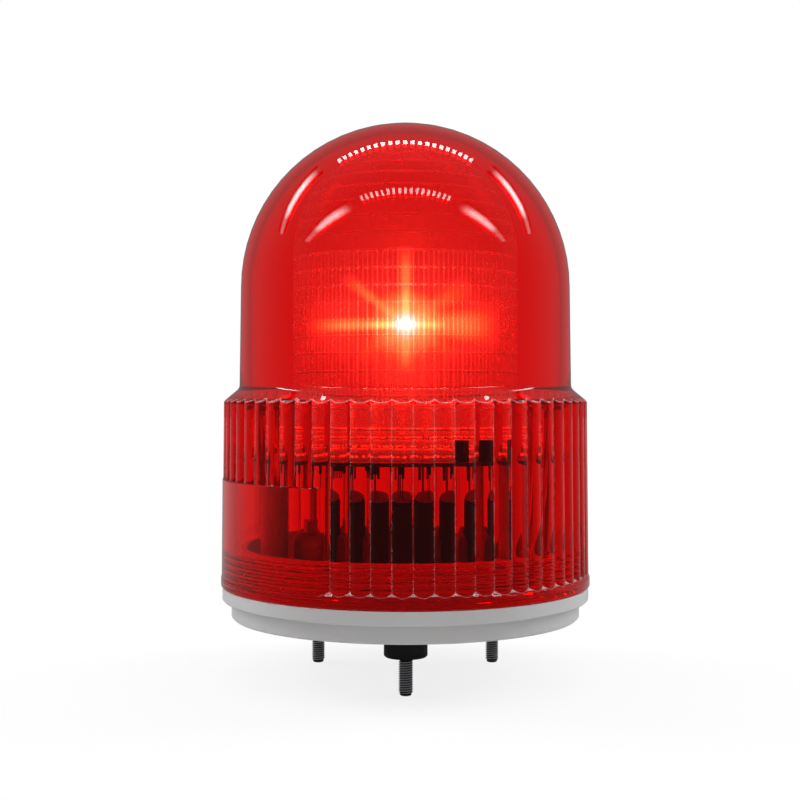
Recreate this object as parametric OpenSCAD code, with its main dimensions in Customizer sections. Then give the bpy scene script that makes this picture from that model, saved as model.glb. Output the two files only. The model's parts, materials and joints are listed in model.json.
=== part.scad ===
// Sounder beacon: a red reeded globe that screws onto a round base with three fixing bolts.
// Inside are a sounder, a circuit board on pillars and an LED column under a prismatic lens.
// Lengths are in millimetres. Z is up, and z = 0 is the face that the beacon is fixed to.
// Angles are turned from the front (the -Y side), positive towards +X.

/* [Globe] */
// Outside radius of the dome
dome_r = 74.4; // [72:0.1:78]
// Height of the straight wall between the shoulder and the dome
dome_straight_h = 45.2; // [36:0.1:60]
// How much wider the straight wall is at its foot
dome_draft = 0.65; // [0.2:0.05:1.5]
// Wall of the dome
dome_wall = 4.5; // [2.5:0.1:5]
// Height of the sloping shoulder above the reeds
shoulder_h = 5.8; // [4:0.1:9]
// Height of the skirt from the rim to the shoulder
skirt_h = 82.5; // [76:0.1:95]
// How much wider the skirt is at its rim
skirt_draft = 0.8; // [0.3:0.05:1.6]
// Wall of the skirt behind the reeds
skirt_wall = 4; // [3:0.1:6]
// Number of reeds round the skirt
reed_count = 60; // [48:4:72]
// Depth of the valleys between the reeds
reed_depth = 1.5; // [1:0.1:2]
// Turn of the first reed from the front
reed_turn = -1; // [-3:0.5:3]
// Height of the plain band at the rim
rim_h = 3.6; // [3:0.1:8]
// How far the top of the plain band slopes in for each millimetre of height
rim_slope = 0.64; // [0.5:0.02:1]
// How far the plain band stands out past the reeds
rim_lift = 0.5; // [0.4:0.05:0.8]
// Height of the plain panel above the rim
panel_h = 48; // [30:0.5:60]
// Angle that the plain panel takes up
panel_angle = 84; // [60:1:120]
// Angle from the front to the panel's near edge
panel_edge = 25; // [10:0.2:40]
// How far the plain panel stands out past the reeds
panel_lift = 0.25; // [0.2:0.05:0.3]

/* [Base] */
// Radius of the collar at the root of its thread
collar_r = 75; // [73:0.1:77]
// Height of the collar above the flange
collar_h = 18; // [14:0.5:24]
// Wall of the collar
collar_wall = 3; // [2:0.1:4]
// Depth of the collar's thread
thread_depth = 1; // [0.6:0.1:1.4]
// Gap between the thread's crest and the globe
thread_gap = 0.6; // [0.4:0.1:1]
// How far the flange lies inside the globe's rim
flange_inset = 0.6; // [0.2:0.1:1.5]
// Height of the flange
flange_h = 6; // [4.5:0.1:9]
// How far the foot ring lies inside the flange
foot_step = 4.1; // [2:0.1:6]
// Height of the foot ring
foot_h = 7.9; // [6.5:0.1:12]
// Wall of the foot ring
foot_wall = 3; // [2:0.1:4]
// Depth of the recess under the floor
recess_h = 4; // [3.5:0.1:5]
// Thickness of the floor
floor_t = 3; // [2.5:0.1:4]
// Number of ribs under the floor
rib_count = 6; // [3:3:9]
// Diameter of the sound holes
sound_hole_d = 4; // [3:0.1:5]
// Distance between the rings of sound holes
sound_ring_step = 9; // [8:0.1:10]

/* [Fixing] */
// Diameter of the circle that the bolts lie on
bolt_circle_d = 95; // [92:0.5:100]
// Number of bolts
bolt_count = 3; // [3:1:3]
// Diameter of the bolts
bolt_d = 6; // [5:1:8]
// Length of bolt below the fixing face
bolt_reach = 16.5; // [10:0.5:30]
// Diameter of the rubber bushes
bush_d = 18.5; // [15:0.5:22]
// Height of the rubber bushes
bush_h = 10.5; // [6:0.5:15]
// Outside diameter of the cable grommet
grommet_d = 16; // [14:0.5:18]
// Hole for the cable
cable_d = 8; // [6:0.5:9]

/* [Sounder] */
// Radius of the sounder's case
case_r = 34; // [32:0.5:35]
// Height of the sounder's case
case_h = 46; // [42:0.5:52]
// Wall of the sounder's case
case_wall = 2.5; // [2:0.1:3]
// Height of the cradle's side blocks
cradle_h = 31; // [24:0.5:36]
// Gap between the cradle's side blocks and the pillars
cradle_gap = 3; // [2:0.1:5]

/* [Board and pillars] */
// Length of the pillars
pillar_h = 63.3; // [60:0.1:68]
// Diameter of the pillars
pillar_d = 12; // [10:0.5:13]
// Gap between the board's edge and the globe
board_gap = 10.6; // [9:0.1:12]
// Thickness of the boards
board_t = 1.6; // [1:0.1:2.4]
// Turn of the first pillar from the front
pillar_turn = -75; // [-80:1:-70]

/* [Lens and LEDs] */
// Gap between the lens flange and the heads of the board screws
lens_clear = 2.6; // [1.6:0.1:4.6]
// Wall of the inner lens
lens_wall = 3; // [2.8:0.1:3.5]
// Gap between the tops of the lens and the dome
lens_gap = 3.8; // [3:0.1:8]
// Distance between the ring steps of the lens
lens_step = 7.2; // [6:0.1:9]
// Depth of the ring steps
lens_step_depth = 0.9; // [0.5:0.1:1.2]
// Number of upright ribs inside the lens
lens_ribs = 72; // [48:12:96]
// Width of the LED column across its flats
core_w = 26; // [24:0.5:30]
// Height of the LED column
core_h = 72; // [66:0.5:78]
// Width of an LED board
led_board_w = 13; // [11:0.5:13.5]
// Number of LEDs on a board
led_rows = 4; // [3:1:4]
// Distance between the LEDs
led_pitch = 15; // [12:0.5:16]

/* [Hidden] */
$fn = 96;

// Overlap of shapes that are cut or joined
eps = 0.5;
// Gap round a part that stands in a hole
fit = 0.25;
// Gap round a screw that cuts its own thread
thread_fit = 0.05;

// Heights of the base
base_z = bush_h;
floor_bottom = base_z + recess_h;
floor_top = floor_bottom + floor_t;
flange_z = base_z + foot_h;
flange_top = flange_z + flange_h;
collar_top = flange_top + collar_h;

// The seal stands in a groove in the flange and carries the globe's rim
seal_w = 2.4;
seal_stand = 0.4;
groove_depth = 1.6;
rim_z = flange_top + seal_stand;

// Heights of the globe
shoulder_z = rim_z + skirt_h;
dome_foot_z = shoulder_z + shoulder_h;
dome_z = dome_foot_z + dome_straight_h;
dome_top = dome_z + dome_r;

// Radii of the globe
bore_r = collar_r + thread_depth + thread_gap;
crest_top_r = bore_r + skirt_wall + reed_depth;
crest_rim_r = crest_top_r + skirt_draft;
rim_r = crest_rim_r + rim_lift;
dome_foot_r = dome_r + dome_draft;
dome_in_r = dome_r - dome_wall;

// Slope of the shoulder, and the cone inside the globe that runs along with it
shoulder_slope = shoulder_h / (crest_top_r - dome_foot_r);
cone_drop = 0.8;
cone_z = shoulder_z - cone_drop;
cone_top_z = cone_z + (bore_r - dome_in_r) * shoulder_slope;

// Radii of the base
flange_r = rim_r - flange_inset;
foot_r = flange_r - foot_step;
collar_in_r = collar_r - collar_wall;
seal_r = (bore_r + flange_r) / 2;
edge_chamfer = 0.6;
rib_t = 2;
rib_lift = 1;
sound_rings = 3;

// A reed is a leaning cylinder that meets its neighbours at the valleys
reed_angle = 360 / reed_count;
reed_lean = atan(skirt_draft / skirt_h);
valley_r = crest_rim_r - reed_depth;
valley_x = valley_r * cos(reed_angle / 2);
reed_r = (crest_rim_r * crest_rim_r + valley_r * valley_r - 2 * crest_rim_r * valley_x)
    / (2 * (crest_rim_r - valley_x));
core_under = 0.4;
trim_w = 4;

// Fixing bolts
bolt_circle_r = bolt_circle_d / 2;
bolt_hole_r = bolt_d / 2 + fit;
boss_margin = 1;
boss_r = bush_d / 2 + boss_margin;
boss_top = floor_top + boss_margin;
shank_slim = 0.6;
washer_t = 1.6;
washer_r = bolt_d;
head_h = bolt_d * 2 / 3;
head_r = bolt_d * 5 / 3 / sqrt(3);
washer_top = boss_top + washer_t;

// Cable grommet
grommet_r = grommet_d / 2;
grommet_turn = -165;
grommet_inset = 6;
grommet_place_r = collar_in_r - grommet_r - grommet_inset;
grommet_lip = 1.5;
grommet_lip_h = 2;

// Board and pillars
pillar_r = pillar_d / 2;
board_r = bore_r - board_gap;
board_z = floor_top + pillar_h;
board_top = board_z + board_t;
pillar_place_r = board_r - pillar_r;
pillar_count = 3;

// Sounder and its cradle
case_top = floor_top + case_h;
diaphragm_t = 0.8;
diaphragm_z = floor_top + case_h / 2;
ledge_w = 3;
case_chamfer = 2;
cradle_in_r = case_r + fit;
cradle_out_r = pillar_place_r - pillar_r - cradle_gap;
cradle_w = cradle_out_r - cradle_in_r;
cradle_round = 0.3 * cradle_w;
cradle_ring_w = 3;
cradle_ring_h = 5;
cradle_ring_gap = 0.6;
cradle_span = 60;
cradle_turn = 76;
cradle_top = floor_top + cradle_h;
cradle_mid_r = (cradle_in_r + cradle_out_r) / 2;

// Self-cutting screws, all of one size
screw_r = 1.9;
screw_head_r = 3.4;
screw_head_h = 2.4;
screw_grip = 9;
// Space left under a screw in a blind hole, and its end past a through hole
screw_spare = 1;
screw_end = 1;

// Sockets under the board, and the terminal block under the supply leads
socket_h = 6;
socket_w = 6;
lead_r = 0.8;
lead_step = 3.5;
sounder_lead_count = 2;
sounder_lead_r = 20;
supply_lead_count = 3;
lead_margin = 2;
terminal_h = 5;
terminal_w = 9;

// Row of pins, power block and capacitors on the board
pin_count = 5;
pin_step = 1.6;
pin_r = 0.4;
pin_l = 3;
header_h = 2.4;
header_inset = 8;
header_turn = -27;
power_w = 15;
power_d = 4.5;
power_h = 9;
power_turn = 31;
cap_r = 5;
cap_h = 12;
cap_turns = [140, 185];

// Inner lens
lens_flange_w = 3;
lens_r = pillar_place_r - screw_head_r - lens_clear - lens_flange_w;
lens_apex = dome_top - dome_wall - lens_gap;
lens_z = lens_apex - lens_r;
lens_flange_t = 3;
lens_ear_r = 5;
lens_screw_r = lens_r + lens_ear_r;
lens_screw_turn = 60;
lens_screw_count = 3;
bead_count = 3;
bead_z = 5.4;
bead_pitch = 3.9;
bead_depth = 0.8;
bead_half_h = 1.2;
step_rise = 24;
step_start = board_top + step_rise;
step_slope_h = 0.9;
step_edge_h = 0.2;
step_count = floor((lens_z + lens_step / 2 - step_start) / lens_step) + 1;
lens_rib_r = 1.3;
ring_angle = lens_step / lens_r * 180 / PI;
ring_first = (step_start + step_count * lens_step - lens_z) / lens_r * 180 / PI;
ring_last = 75;
ring_count = floor((ring_last - ring_first) / ring_angle) + 1;
ring_groove_r = 0.7;

// LED column
core_flange_t = 3;
core_flange_edge = 1;
core_screw_r = norm([core_w / 2 + board_t, led_board_w / 2]) + screw_head_r + fit;
core_flange_r = core_screw_r + screw_head_r + core_flange_edge;
core_screw_turn = 30;
core_screw_count = 3;
core_wall = 4;
led_board_gap = 4;
led_board_h = core_h - core_flange_t - led_board_gap;
led_w = 5;
led_t = 1.2;
led_dome_r = 2;
led_first_z = 10;
led_faces = 6;

// Moves a shape out to a radius at an angle from the front
module place(angle, radius) {
    rotate([0, 0, angle])
        translate([0, -radius, 0])
            children();
}

// Repeats a shape round the axis
module ring_of(count, radius, turn = 0) {
    for (i = [0 : count - 1])
        place(turn + i * 360 / count, radius) children();
}

// Upright tube with a flat top and bottom
module tube(outer_r, inner_r, height) {
    difference() {
        cylinder(r = outer_r, h = height);
        translate([0, 0, -eps])
            cylinder(r = inner_r, h = height + 2 * eps);
    }
}

// Half outline of a wall that ends in a dome
module dome_outline(points, radius, centre_z) {
    polygon(points);
    translate([0, centre_z])
        intersection() {
            circle(r = radius);
            square(radius + eps);
        }
}

// Screw with its head at the top, entering downwards from z = 0
module screw(grip) {
    cylinder(r = screw_head_r, h = screw_head_h);
    translate([0, 0, -grip])
        cylinder(r = screw_r, h = grip + eps);
}

// Outside of the globe, with the skirt left wide for the reeds
module globe_envelope() {
    wide_r = rim_r + trim_w;
    wide_z = shoulder_z - (wide_r - crest_top_r) * shoulder_slope;
    rotate_extrude()
        dome_outline([
            [0, rim_z],
            [wide_r, rim_z],
            [wide_r, wide_z],
            [dome_foot_r, dome_foot_z],
            [dome_r, dome_z],
            [0, dome_z]
        ], dome_r, dome_z);
}

// Solid middle of the globe, just below the valleys of the reeds
module globe_middle() {
    low_r = valley_r - core_under;
    cylinder(r1 = low_r, r2 = low_r - skirt_draft, h = skirt_h);
    translate([0, 0, skirt_h])
        cylinder(r = low_r - skirt_draft, h = dome_top - shoulder_z + eps);
}

// One reed, leaning in towards its top
module reed() {
    start = rim_h / 2;
    translate([0, -(crest_rim_r - reed_r), 0])
        rotate([-reed_lean, 0, 0])
            translate([0, 0, start])
                cylinder(r = reed_r, h = skirt_h + shoulder_h - start);
}

// Plain band at the rim, with a sloping top that the reeds run out on
module globe_rim() {
    low_r = valley_r - core_under;
    slope_top = rim_z + rim_h + (rim_r - low_r + eps) / rim_slope;
    rotate_extrude()
        polygon([
            [bore_r - eps, rim_z],
            [rim_r, rim_z],
            [rim_r, rim_z + rim_h],
            [low_r - eps, slope_top],
            [bore_r - eps, slope_top]
        ]);
}

// Plain raised panel over the reeds
module globe_panel() {
    foot_z = rim_z + rim_h / 2;
    top_z = rim_z + panel_h;
    low_r = crest_rim_r + panel_lift;
    high_r = low_r - skirt_draft * (top_z - foot_z) / skirt_h;
    rotate([0, 0, -90 - panel_edge - panel_angle])
        rotate_extrude(angle = panel_angle)
            polygon([
                [bore_r + eps, foot_z],
                [low_r, foot_z],
                [high_r, top_z],
                [bore_r + eps, top_z]
            ]);
}

// Space inside the globe
module globe_inside() {
    rotate_extrude()
        dome_outline([
            [0, rim_z - eps],
            [bore_r, rim_z - eps],
            [bore_r, cone_z],
            [dome_in_r, cone_top_z],
            [dome_in_r, dome_z],
            [0, dome_z]
        ], dome_in_r, dome_z);
}

// Red transparent globe: dome, reeded skirt, plain panel and rim
module globe() {
    color([0.8, 0.06, 0.08])
        difference() {
            union() {
                intersection() {
                    globe_envelope();
                    translate([0, 0, rim_z])
                        union() {
                            globe_middle();
                            ring_of(reed_count, 0, reed_turn) reed();
                        }
                }
                globe_rim();
                globe_panel();
            }
            globe_inside();
        }
}

// Rubber seal under the globe's rim
module seal_ring() {
    color([0.12, 0.12, 0.12])
        translate([0, 0, flange_top - groove_depth])
            tube(seal_r + seal_w / 2, seal_r - seal_w / 2, groove_depth + seal_stand);
}

// Section of the base: foot ring, flange with the seal's groove, collar and floor
module base_section() {
    groove_out = seal_r + seal_w / 2 + fit;
    groove_in = seal_r - seal_w / 2 - fit;
    polygon([
        [foot_r - foot_wall, base_z],
        [foot_r - edge_chamfer, base_z],
        [foot_r, base_z + edge_chamfer],
        [foot_r, flange_z],
        [flange_r - edge_chamfer, flange_z],
        [flange_r, flange_z + edge_chamfer],
        [flange_r, flange_top],
        [groove_out, flange_top],
        [groove_out, flange_top - groove_depth],
        [groove_in, flange_top - groove_depth],
        [groove_in, flange_top],
        [collar_r, flange_top],
        [collar_r, collar_top - edge_chamfer],
        [collar_r - edge_chamfer, collar_top],
        [collar_in_r, collar_top],
        [collar_in_r, floor_top],
        [0, floor_top],
        [0, floor_bottom],
        [foot_r - foot_wall, floor_bottom]
    ]);
}

// Ribs under the floor, from the sound holes out to the foot ring
module base_ribs() {
    rib_start = sound_rings * sound_ring_step;
    for (i = [0 : rib_count - 1])
        rotate([0, 0, (i + 0.5) * 360 / rib_count])
            translate([rib_start, -rib_t / 2, base_z + rib_lift])
                cube([foot_r - foot_wall / 2 - rib_start, rib_t, recess_h]);
}

// Holes that let the sound out through the floor
module sound_holes() {
    for (ring = [0 : sound_rings - 1])
        ring_of(max(1, ring * 6), ring * sound_ring_step)
            translate([0, 0, base_z])
                cylinder(d = sound_hole_d, h = floor_top - base_z + eps);
}

// Light grey base moulding
module base() {
    color([0.72, 0.73, 0.73])
        difference() {
            union() {
                rotate_extrude() base_section();
                base_ribs();
                ring_of(bolt_count, bolt_circle_r)
                    translate([0, 0, base_z])
                        cylinder(r = boss_r, h = boss_top - base_z);
            }
            sound_holes();
            ring_of(bolt_count, bolt_circle_r)
                cylinder(r = bolt_hole_r, h = boss_top + eps);
            ring_of(pillar_count, pillar_place_r, pillar_turn)
                translate([0, 0, base_z - eps])
                    cylinder(r = screw_r + fit, h = floor_top - base_z + 2 * eps);
            ring_of(pillar_count, pillar_place_r, pillar_turn)
                translate([0, 0, base_z - eps])
                    cylinder(r = screw_head_r + fit, h = recess_h + eps);
            for (side = [-1, 1])
                place(side * cradle_turn, cradle_mid_r)
                    translate([0, 0, base_z - eps]) {
                        cylinder(r = screw_r + fit, h = floor_top - base_z + 2 * eps);
                        cylinder(r = screw_head_r + fit, h = recess_h + eps);
                    }
            place(grommet_turn, grommet_place_r)
                translate([0, 0, base_z - eps])
                    cylinder(r = grommet_r + fit, h = floor_top - base_z + 2 * eps);
        }
}

// Black hex-head bolts that fix the beacon, with a slim shank and a chamfered tip
module mounting_bolts() {
    tip = bolt_d / 8;
    color([0.1, 0.1, 0.1])
        ring_of(bolt_count, bolt_circle_r) {
            translate([0, 0, washer_top])
                cylinder(r = head_r, h = head_h, $fn = 6);
            translate([0, 0, -eps])
                cylinder(d = bolt_d - shank_slim, h = washer_top + 2 * eps);
            translate([0, 0, tip - bolt_reach])
                cylinder(d = bolt_d, h = bolt_reach - tip);
            translate([0, 0, -bolt_reach])
                cylinder(d1 = bolt_d - 2 * tip, d2 = bolt_d, h = tip);
        }
}

// Washers under the bolt heads
module bolt_washers() {
    color([0.6, 0.6, 0.6])
        ring_of(bolt_count, bolt_circle_r)
            translate([0, 0, boss_top])
                tube(washer_r, bolt_hole_r, washer_t);
}

// Rubber bushes between the base and the fixing face
module rubber_bushes() {
    color([0.06, 0.06, 0.07])
        ring_of(bolt_count, bolt_circle_r)
            rotate_extrude()
                polygon([
                    [bolt_hole_r, 0],
                    [bush_d / 2 - edge_chamfer, 0],
                    [bush_d / 2, edge_chamfer],
                    [bush_d / 2, bush_h],
                    [bolt_hole_r, bush_h]
                ]);
}

// Rubber grommet that the cable passes through
module cable_grommet() {
    color([0.1, 0.1, 0.1])
        place(grommet_turn, grommet_place_r)
            rotate_extrude()
                polygon([
                    [cable_d / 2, floor_bottom - grommet_lip_h],
                    [grommet_r + grommet_lip, floor_bottom - grommet_lip_h],
                    [grommet_r + grommet_lip, floor_bottom],
                    [grommet_r, floor_bottom],
                    [grommet_r, floor_top],
                    [grommet_r + grommet_lip, floor_top],
                    [grommet_r + grommet_lip, floor_top + grommet_lip_h],
                    [cable_d / 2, floor_top + grommet_lip_h]
                ]);
}

// Black case of the sounder, open downwards, with a ledge for the diaphragm
module sounder_case() {
    in_r = case_r - case_wall;
    color([0.08, 0.08, 0.09])
        rotate_extrude()
            polygon([
                [in_r, floor_top],
                [case_r, floor_top],
                [case_r, case_top - case_chamfer],
                [case_r - case_chamfer, case_top],
                [0, case_top],
                [0, case_top - case_wall],
                [in_r - ledge_w, case_top - case_wall],
                [in_r - ledge_w, diaphragm_z + diaphragm_t],
                [in_r, diaphragm_z + diaphragm_t]
            ]);
}

// Brass disc that makes the sound
module sounder_diaphragm() {
    color([0.8, 0.62, 0.28])
        translate([0, 0, diaphragm_z])
            cylinder(r = case_r - case_wall - fit, h = diaphragm_t);
}

// Ring that clamps the diaphragm against the ledge
module sounder_ring() {
    color([0.15, 0.15, 0.15])
        translate([0, 0, floor_top])
            tube(case_r - case_wall - fit, case_r - case_wall - ledge_w, diaphragm_z - floor_top);
}

// Points of a quarter circle, turned anticlockwise from a start angle
function quarter(centre, radius, start, parts = 6) = [
    for (i = [0 : parts])
        centre + radius * [cos(start + i * 90 / parts), sin(start + i * 90 / parts)]
];

// Section of a cradle block, with round top edges
module cradle_section() {
    low_r = cradle_in_r + fit;
    round_z = cradle_top - cradle_round;
    polygon(concat(
        [[low_r, floor_top], [cradle_out_r, floor_top]],
        quarter([cradle_out_r - cradle_round, round_z], cradle_round, 0),
        quarter([low_r + cradle_round, round_z], cradle_round, 90)
    ));
}

// Cradle that holds the sounder between two side blocks
module sounder_cradle() {
    color([0.55, 0.56, 0.57])
        difference() {
            union() {
                translate([0, 0, floor_top + cradle_ring_gap])
                    tube(cradle_in_r + cradle_ring_w, cradle_in_r, cradle_ring_h);
                for (side = [-1, 1])
                    rotate([0, 0, side * cradle_turn - 90 - cradle_span / 2])
                        rotate_extrude(angle = cradle_span)
                            cradle_section();
            }
            for (side = [-1, 1])
                place(side * cradle_turn, cradle_mid_r)
                    translate([0, 0, floor_top - eps])
                        cylinder(r = screw_r + thread_fit, h = screw_grip + eps);
        }
}

// Screws up through the floor into the cradle
module cradle_screws() {
    color([0.65, 0.65, 0.66])
        for (side = [-1, 1])
            place(side * cradle_turn, cradle_mid_r)
                translate([0, 0, floor_bottom])
                    mirror([0, 0, 1])
                        screw(floor_t + screw_grip - screw_spare);
}

// Row of upright leads across the front direction
module leads(count, low_z, high_z) {
    for (i = [0 : count - 1])
        translate([(i - (count - 1) / 2) * lead_step, 0, low_z])
            cylinder(r = lead_r, h = high_z - low_z, $fn = 24);
}

// Leads from the sounder's top to its socket
module sounder_leads() {
    color([0.5, 0.05, 0.05])
        place(0, sounder_lead_r)
            leads(sounder_lead_count, case_top, board_z - socket_h);
}

// Terminal block on the left block of the cradle
module terminal_block() {
    w = lead_row(supply_lead_count);
    d = min(terminal_w, cradle_w - 2 * cradle_round - fit);
    color([0.12, 0.3, 0.18])
        place(-cradle_turn, cradle_mid_r)
            translate([-w / 2, -d / 2, cradle_top])
                cube([w, d, terminal_h]);
}

// Leads from the terminal block to the board
module supply_leads() {
    color([0.1, 0.1, 0.1])
        place(-cradle_turn, cradle_mid_r)
            leads(supply_lead_count, cradle_top + terminal_h, board_z - socket_h);
}

// Pillars that carry the board
module board_pillars() {
    color([0.5, 0.5, 0.5])
        ring_of(pillar_count, pillar_place_r, pillar_turn)
            translate([0, 0, floor_top])
                difference() {
                    cylinder(r = pillar_r, h = pillar_h);
                    translate([0, 0, -eps])
                        cylinder(r = screw_r + thread_fit, h = screw_grip + eps);
                    translate([0, 0, pillar_h - screw_grip])
                        cylinder(r = screw_r + thread_fit, h = screw_grip + eps);
                }
}

// Screws up through the floor into the pillars
module pillar_screws() {
    color([0.65, 0.65, 0.66])
        ring_of(pillar_count, pillar_place_r, pillar_turn)
            translate([0, 0, floor_bottom])
                mirror([0, 0, 1])
                    screw(floor_t + screw_grip - screw_spare);
}

// Round circuit board with its screw holes
module main_board() {
    color([0.1, 0.25, 0.15])
        difference() {
            translate([0, 0, board_z])
                cylinder(r = board_r, h = board_t);
            ring_of(pillar_count, pillar_place_r, pillar_turn)
                translate([0, 0, board_z - eps])
                    cylinder(r = screw_r + fit, h = board_t + 2 * eps);
            ring_of(lens_screw_count, lens_screw_r, lens_screw_turn)
                translate([0, 0, board_z - eps])
                    cylinder(r = screw_r + thread_fit, h = board_t + 2 * eps);
            ring_of(core_screw_count, core_screw_r, core_screw_turn)
                translate([0, 0, board_z - eps])
                    cylinder(r = screw_r + thread_fit, h = board_t + 2 * eps);
        }
}

// Screws down through the board into the pillars
module board_screws() {
    color([0.65, 0.65, 0.66])
        ring_of(pillar_count, pillar_place_r, pillar_turn)
            translate([0, 0, board_top])
                screw(board_t + screw_grip - screw_spare);
}

// Length of a block that takes a row of leads
function lead_row(count) = count * lead_step + lead_margin;

// Socket under the board for a row of leads
module lead_socket(count) {
    translate([-lead_row(count) / 2, -socket_w / 2, board_z - socket_h])
        cube([lead_row(count), socket_w, socket_h]);
}

// Sockets of the sounder's leads and of the supply leads
module lead_sockets() {
    color([0.85, 0.85, 0.8]) {
        place(0, sounder_lead_r)
            lead_socket(sounder_lead_count);
        place(-cradle_turn, cradle_mid_r)
            lead_socket(supply_lead_count);
    }
}

// Row of pins under the front edge of the board
module pin_header() {
    color([0.1, 0.1, 0.1])
        place(header_turn, board_r - header_inset)
            translate([0, 0, board_z - header_h]) {
                translate([-pin_count * pin_step / 2, -pin_step, 0])
                    cube([pin_count * pin_step, 2 * pin_step, header_h]);
                for (i = [0 : pin_count - 1])
                    translate([(i - (pin_count - 1) / 2) * pin_step, 0, -pin_l])
                        cylinder(r = pin_r, h = pin_l + eps, $fn = 24);
            }
}

// Black power block on the board, outside the lens
module power_block() {
    color([0.07, 0.07, 0.07])
        place(power_turn, (lens_r + lens_flange_w + board_r) / 2)
            translate([-power_w / 2, -power_d / 2, board_top])
                cube([power_w, power_d, power_h]);
}

// Capacitors under the back of the board
module capacitors() {
    color([0.15, 0.15, 0.3])
        for (angle = cap_turns)
            place(angle, board_r / 2 + cap_r)
                translate([0, 0, board_z - cap_h])
                    cylinder(r = cap_r, h = cap_h);
}

// Outline of the lens wall from its beaded foot to the last ring step
function bead_points() = [
    for (i = [0 : bead_count - 1], p = [[0, -bead_half_h], [bead_depth, 0], [0, bead_half_h]])
        [lens_r + p[0], board_top + bead_z + i * bead_pitch + p[1]]
];
function step_points() = [
    for (i = [0 : step_count - 1], p = [[0, -step_slope_h], [-lens_step_depth, 0], [0, step_edge_h]])
        [lens_r + p[0], step_start + i * lens_step + p[1]]
];

// Round groove of one ring step on the lens's dome, at an angle above the dome's edge
module lens_dome_ring(angle) {
    rotate_extrude()
        translate([lens_r * cos(angle), lens_z + lens_r * sin(angle)])
            circle(r = ring_groove_r);
}

// Clear bullet-shaped lens with ring steps outside and upright ribs inside
module inner_lens() {
    in_r = lens_r - lens_wall;
    flange_r = lens_r + lens_flange_w;
    color([0.9, 0.9, 0.92])
        difference() {
            union() {
                rotate_extrude()
                    dome_outline(concat(
                        [[0, board_top], [flange_r, board_top], [flange_r, board_top + lens_flange_t]],
                        [[lens_r, board_top + lens_flange_t]],
                        bead_points(),
                        step_points(),
                        [[lens_r, lens_z], [0, lens_z]]
                    ), lens_r, lens_z);
                ring_of(lens_screw_count, lens_screw_r, lens_screw_turn)
                    translate([0, 0, board_top])
                        cylinder(r = lens_ear_r, h = lens_flange_t);
            }
            rotate_extrude()
                dome_outline([
                    [0, board_top - eps],
                    [in_r, board_top - eps],
                    [in_r, lens_z],
                    [0, lens_z]
                ], in_r, lens_z);
            for (i = [0 : ring_count - 1])
                lens_dome_ring(ring_first + i * ring_angle);
            ring_of(lens_ribs, in_r)
                translate([0, 0, board_top + lens_flange_t])
                    cylinder(r = lens_rib_r, h = lens_z - board_top - 2 * lens_flange_t, $fn = 24);
            ring_of(lens_screw_count, lens_screw_r, lens_screw_turn)
                translate([0, 0, board_top - eps])
                    cylinder(r = screw_r + fit, h = lens_flange_t + 2 * eps);
        }
}

// Screws that hold the lens down on the board
module lens_screws() {
    color([0.65, 0.65, 0.66])
        ring_of(lens_screw_count, lens_screw_r, lens_screw_turn)
            translate([0, 0, board_top + lens_flange_t])
                screw(lens_flange_t + board_t + screw_end);
}

// Six-sided aluminium column for the LED boards
module led_core() {
    flat_r = core_w / sqrt(3);
    color([0.75, 0.76, 0.78])
        difference() {
            union() {
                translate([0, 0, board_top])
                    cylinder(r = core_flange_r, h = core_flange_t);
                translate([0, 0, board_top])
                    cylinder(r = flat_r, h = core_h, $fn = 6);
            }
            translate([0, 0, board_top - eps])
                cylinder(r = core_w / 2 - core_wall, h = core_h + 2 * eps);
            ring_of(core_screw_count, core_screw_r, core_screw_turn)
                translate([0, 0, board_top - eps])
                    cylinder(r = screw_r + fit, h = core_flange_t + 2 * eps);
        }
}

// Screws that hold the column down on the board
module core_screws() {
    color([0.65, 0.65, 0.66])
        ring_of(core_screw_count, core_screw_r, core_screw_turn)
            translate([0, 0, board_top + core_flange_t])
                screw(core_flange_t + board_t + screw_end);
}

// One LED board on a flat of the column
module led_board(index) {
    color([0.9, 0.9, 0.88])
        place((index - 1) * 360 / led_faces, core_w / 2 + board_t)
            translate([-led_board_w / 2, 0, board_top + core_flange_t])
                cube([led_board_w, board_t, led_board_h]);
}

// LEDs, each a flat body with a small dome
module led_chips() {
    color([0.95, 0.85, 0.4])
        ring_of(led_faces, core_w / 2 + board_t)
            for (row = [0 : led_rows - 1])
                translate([0, 0, board_top + core_flange_t + led_first_z + row * led_pitch]) {
                    translate([-led_w / 2, -led_t, -led_w / 2])
                        cube([led_w, led_t, led_w]);
                    translate([0, -led_t, 0])
                        intersection() {
                            sphere(r = led_dome_r);
                            translate([-led_w / 2, -led_w, -led_w / 2])
                                cube([led_w, led_w + led_t / 2, led_w]);
                        }
                }
}

globe();
seal_ring();
base();
mounting_bolts();
bolt_washers();
rubber_bushes();
cable_grommet();
sounder_case();
sounder_diaphragm();
sounder_ring();
sounder_cradle();
cradle_screws();
sounder_leads();
terminal_block();
supply_leads();
board_pillars();
pillar_screws();
main_board();
board_screws();
lead_sockets();
pin_header();
power_block();
capacitors();
inner_lens();
lens_screws();
led_core();
core_screws();
led_board(1);  // led_board_1
led_board(2);  // led_board_2
led_board(3);  // led_board_3
led_board(4);  // led_board_4
led_board(5);  // led_board_5
led_board(6);  // led_board_6
led_chips();
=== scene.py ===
"""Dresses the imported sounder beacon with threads, screws, LEDs, finishes, light and a camera."""
import json
import math
from functools import partial

import bmesh
import bpy
from mathutils import Matrix, Vector


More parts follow.
